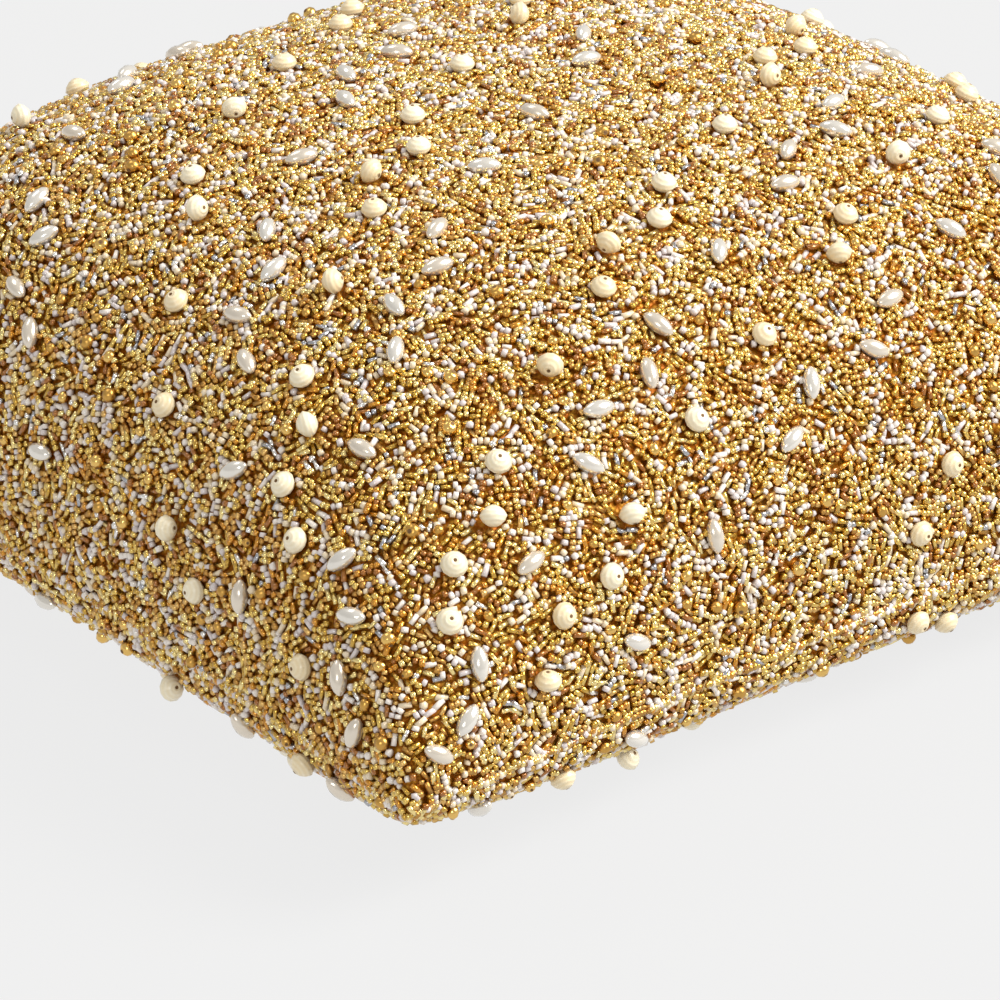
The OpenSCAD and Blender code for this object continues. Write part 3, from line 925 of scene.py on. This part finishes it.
pocket_finish = Finish("pocket_satin", (0.60, 0.45, 0.26), roughness=0.32, sheen_weight=0.25)
# painted sheen: the pocket's colour runs lighter and darker in long soft bands, like the lining's
pocket_finish.put(
    pocket_finish.blend(pocket_finish.noise(55, 3, (1, 0.35, 1)), (0.50, 0.36, 0.19), (0.68, 0.53, 0.33)),
    pocket_finish.shader.inputs["Base Color"])
pocket_weave = pocket_finish.ribs(0, 0.4 * MM) * 0.3
pocket_rows = pocket_finish.ribs(1, 2.2 * MM) * 0.1
pocket_finish.bump(pocket_weave + pocket_rows, 0.0003, 0.5)
pocket_finish.wear(pocket)
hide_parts("lining_pocket")
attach(pocket, "back_half")

# ---- Zip tapes ----
# Woven polyester tapes, one to each half. The teeth are clamped on one edge, and the other edge
# is stitched in between the beaded cloth and the lining.

TAPE = 0.6 * MM
tape_finish = Finish("woven_tape", (0.42, 0.27, 0.10), roughness=0.7, sheen_weight=0.3)
weave = tape_finish.ribs(0, 0.55 * MM) * 0.5 + tape_finish.ribs(2, 0.7 * MM) * 0.5
tape_finish.put(
    tape_finish.blend(weave, (0.30, 0.17, 0.05), (0.52, 0.35, 0.15)),
    tape_finish.shader.inputs["Base Color"])
tape_finish.bump(weave, 0.0003, 0.8)
for half, (up, across) in HALVES.items():
    low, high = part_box("back_zip_tape" if half == "back" else "front_zip_tape")
    left, right = (high.x * share for share in across)
    clear_selection()
    bpy.ops.mesh.primitive_grid_add(
        x_subdivisions=80, y_subdivisions=4, size=1, rotation=(QUARTER, 0, 0),
        location=((left + right) / 2, (low.y + high.y) / 2, (low.z + high.z) / 2))
    piece = bpy.context.object
    piece.name = piece.data.name = f"zip_tape_{half}"
    piece.scale = (right - left, high.z - low.z, 1)
    bpy.ops.object.transform_apply(location=True, rotation=True, scale=True)
    cloth = piece.modifiers.new("thickness", "SOLIDIFY")
    cloth.thickness, cloth.offset = TAPE, 0
    bpy.ops.object.modifier_apply(modifier=cloth.name)
    wear_layer(piece, half, tape_finish, "zip_tape")

# ---- Zip teeth and stops ----
# Polished brass teeth, each with a rounded head and two legs clamped over the tape's edge. The
# heads of one row stand between those of the other. A wider stop ends the top of each row.

TEETH_LENGTH = 216 * MM
TOOTH_PITCH = 2.4 * MM
TOOTH_WIDTH = 1.0 * MM
TOOTH_HALF = 1.1 * MM
HEAD_FROM, HEAD_TO, LEG_TO = -0.35 * MM, 1.5 * MM, 3.4 * MM
LEG_GAP_HALF = 0.4 * MM
HEAD_ROUND = 0.4 * MM
STOP_WIDTH = 2.4
STOP_BACK = 0.8 * MM
STOP_X = 109.7 * MM
brass = Finish("polished_brass", (0.86, 0.60, 0.24), metallic=1.0, roughness=0.22)
brushed = brass.noise(900, 3, (1, 0.15, 0.15))
brass.put(brass.blend(brushed, (0.80, 0.53, 0.19), (0.90, 0.66, 0.30)), brass.shader.inputs["Base Color"])
brass.put(brushed * 0.16 + 0.14, brass.shader.inputs["Roughness"])
brass.bump(brushed, 0.0001, 0.3)
clear_selection()
bpy.ops.mesh.primitive_cube_add(size=1, location=(0, 0, (HEAD_FROM + HEAD_TO) / 2))
tooth = bpy.context.object
tooth.data.uv_layers[0].name = "own_map"
tooth.scale = (TOOTH_WIDTH, 2 * TOOTH_HALF, HEAD_TO - HEAD_FROM)
bpy.ops.object.transform_apply(location=True, rotation=True, scale=True)
bpy.ops.object.mode_set(mode="EDIT")
for side in (1, -1):
    bpy.ops.mesh.select_all(action="SELECT")
    bpy.ops.mesh.bisect(plane_co=(0, side * LEG_GAP_HALF, 0), plane_no=(0, 1, 0))
bpy.ops.mesh.select_all(action="DESELECT")
bpy.ops.object.mode_set(mode="OBJECT")
for face in tooth.data.polygons:
    face.select = face.normal.z > 0.9 and abs(face.center.y) > LEG_GAP_HALF
bpy.ops.object.mode_set(mode="EDIT")
bpy.ops.mesh.select_mode(type="FACE")
bpy.ops.mesh.extrude_region_move(TRANSFORM_OT_translate={"value": (0, 0, LEG_TO - HEAD_TO)})
bpy.ops.mesh.select_all(action="DESELECT")
bpy.ops.mesh.select_mode(type="EDGE")
bpy.ops.object.mode_set(mode="OBJECT")
for edge in tooth.data.edges:
    ends = [tooth.data.vertices[k].co for k in edge.vertices]
    at_head = all(abs(end.z - HEAD_FROM) < TOUCH for end in ends)
    outermost = all(abs(end.y) > TOOTH_HALF - TOUCH for end in ends)
    edge.select = at_head and outermost and ends[0].y * ends[1].y > 0
bpy.ops.object.mode_set(mode="EDIT")
bpy.ops.mesh.bevel(offset=HEAD_ROUND, segments=2)
bpy.ops.object.mode_set(mode="OBJECT")
bpy.ops.object.shade_smooth_by_angle(angle=radians(40))
tooth_model = take_model(tooth)
pitches = round(TEETH_LENGTH / TOOTH_PITCH) - 1
for up in (1, -1):
    facing = Matrix.Diagonal((1, up, up))
    x = (np.arange(pitches + 1) - pitches / 2) * TOOTH_PITCH + (0 if up > 0 else TOOTH_PITCH / 2)
    places = np.stack([x, np.full_like(x, ZIP_Y), np.full_like(x, SEAM_Z)], -1)
    turns = np.array([facing] * len(x))
    node = "front_zip_teeth" if up > 0 else "back_zip_teeth"
    fix_on("zip_teeth", tooth_model, turns, places, [brass], np.zeros(len(x), int), up,
           [node])
    stop_place = np.array([[STOP_X, ZIP_Y, SEAM_Z + up * STOP_BACK]])
    stop_turn = np.array([facing @ Matrix.Diagonal((STOP_WIDTH, 1, 1))])
    node = "front_top_stop" if up > 0 else "back_top_stop"
    fix_on("top_stop", tooth_model, stop_turn, stop_place, [brass], np.zeros(1, int), up,
           [node])

# ---- Slider, pull and bottom stop ----
# A cast slider with two ears, a steel pin through them and a flat drilled pull tab, all brass
# plated like the teeth, and the box stop that ends the zip.

for node in ("slider_body", "pull_pin", "pull_tab", "bottom_stop"):
    brass.wear(bpy.data.objects[node])

# ---- Seam stitches ----
# Gold-brown thread whipped over the three sewn edges, in short slanting stitches half hidden
# among the small beads.

STITCH_PITCH = 3 * MM
STITCH_IN = 0.8 * MM
STITCH_SLANT = 0.55
STITCH_LENGTH = 8                       # lengths to a width
THREAD = 0.4 * MM
RIM_STEPS = 400
thread_finish = Finish("seam_thread", (0.62, 0.42, 0.18), roughness=0.6, sheen_weight=0.3)
thread_finish.bump(thread_finish.ribs(2, 0.3 * MM), 0.0001, 0.6)
stitch = new_ball(THREAD / 2, 6, 4)
bpy.ops.object.mode_set(mode="EDIT")
bpy.ops.mesh.select_all(action="SELECT")
bpy.ops.transform.resize(value=(1, 1, STITCH_LENGTH))
bpy.ops.object.mode_set(mode="OBJECT")
stitch_model = take_model(stitch)
along_edge = np.linspace(-QUARTER, QUARTER, RIM_STEPS)
at_edge = np.full(RIM_STEPS, QUARTER)
rims = [
    form(-at_edge, along_edge[::-1], STITCH_IN, -1),
    form(along_edge, -at_edge, STITCH_IN, -1),
    form(at_edge, along_edge, STITCH_IN, -1),
]
stitch_places, stitch_turns = [], []
for rim in rims:
    walked = np.concatenate([[0], np.cumsum(np.linalg.norm(np.diff(rim, axis=0), axis=1))])
    for step in np.arange(2 * STITCH_PITCH, walked[-1] - 2 * STITCH_PITCH, STITCH_PITCH):
        place, ahead = (
            np.array([np.interp(step + d, walked, rim[:, k]) for k in range(3)]) for d in (0, MM))
        way = Vector(ahead - place).normalized()
        slant = (Vector((0, 0, 1)) + STITCH_SLANT * way).normalized()
        outward = slant.cross(way).normalized()
        stitch_places.append((place[0], place[1], SEAM_Z))
        stitch_turns.append(Matrix((outward.cross(slant) * -1, outward, slant)).transposed())
fix_on("seam_stitches", stitch_model, np.array(stitch_turns), np.array(stitch_places), [thread_finish],
       np.zeros(len(stitch_places), int), -1)

# ---- Floor, lights and camera ----
# A pale light table, lit from beneath so that the bag throws almost no shadow, a large soft key
# from the right, a weak light over the top and a small fill from the left that glints on the beads.

TABLE_LIGHT = 0.805
clear_selection()
bpy.ops.mesh.primitive_plane_add(size=12, location=(0, 0, -0.2 * MM))
floor = bpy.context.object
floor.name = "studio_floor"
floor_finish = Finish("studio_floor", (0.04, 0.04, 0.04), roughness=1.0, specular_ior_level=0.0,
                      emission_color=(1, 1, 1, 1), emission_strength=TABLE_LIGHT)
floor_finish.wear(floor)

AZIMUTH = radians(-39.04)
ELEVATION = radians(26.65)
DISTANCE = 1.214
LENS = 213.3
AIM = Vector((-0.1068, -0.1192, 0.0835))
back_way = Vector((np.sin(AZIMUTH) * np.cos(ELEVATION), -np.cos(AZIMUTH) * np.cos(ELEVATION),
                   np.sin(ELEVATION)))
right_way = Vector((np.cos(AZIMUTH), np.sin(AZIMUTH), 0))
up_way = back_way.cross(right_way)
camera = bpy.data.objects.new("camera", bpy.data.cameras.new("camera"))
bpy.context.scene.collection.objects.link(camera)
camera.data.lens = LENS
camera.data.clip_start = 0.05
camera.matrix_world = Matrix.Translation(AIM + back_way * DISTANCE) @ Matrix(
    (right_way, up_way, back_way)).transposed().to_4x4()
bpy.context.scene.camera = camera


def soft_box(name, way, distance, size, power, colour=(1, 1, 1)):
    lamp = bpy.data.objects.new(name, bpy.data.lights.new(name, "AREA"))
    bpy.context.scene.collection.objects.link(lamp)
    lamp.data.shape = "RECTANGLE"
    lamp.data.size, lamp.data.size_y = size
    lamp.data.energy = power
    lamp.data.color = colour
    way = Vector(way).normalized()
    lamp.location = Vector((0, 0, 0.05)) + way * distance
    lamp.rotation_euler = way.to_track_quat("Z", "Y").to_euler()


ROOM_LIGHT = 0.60
soft_box("key", (0.65, -0.65, 0.85), 1.6, (1.0, 1.0), 44, (1, 0.98, 0.95))
soft_box("top", (-0.1, 0.6, 1.0), 1.8, (0.9, 0.5), 5)
soft_box("fill", (-0.9, -0.6, 0.5), 2.0, (0.3, 0.3), 6)
world = bpy.data.worlds.new("studio")
bpy.context.scene.world = world
world.use_nodes = True
world.node_tree.nodes["Background"].inputs[0].default_value = (1.0, 0.99, 0.97, 1)
world.node_tree.nodes["Background"].inputs[1].default_value = ROOM_LIGHT
bpy.context.scene.view_settings.view_transform = "Standard"
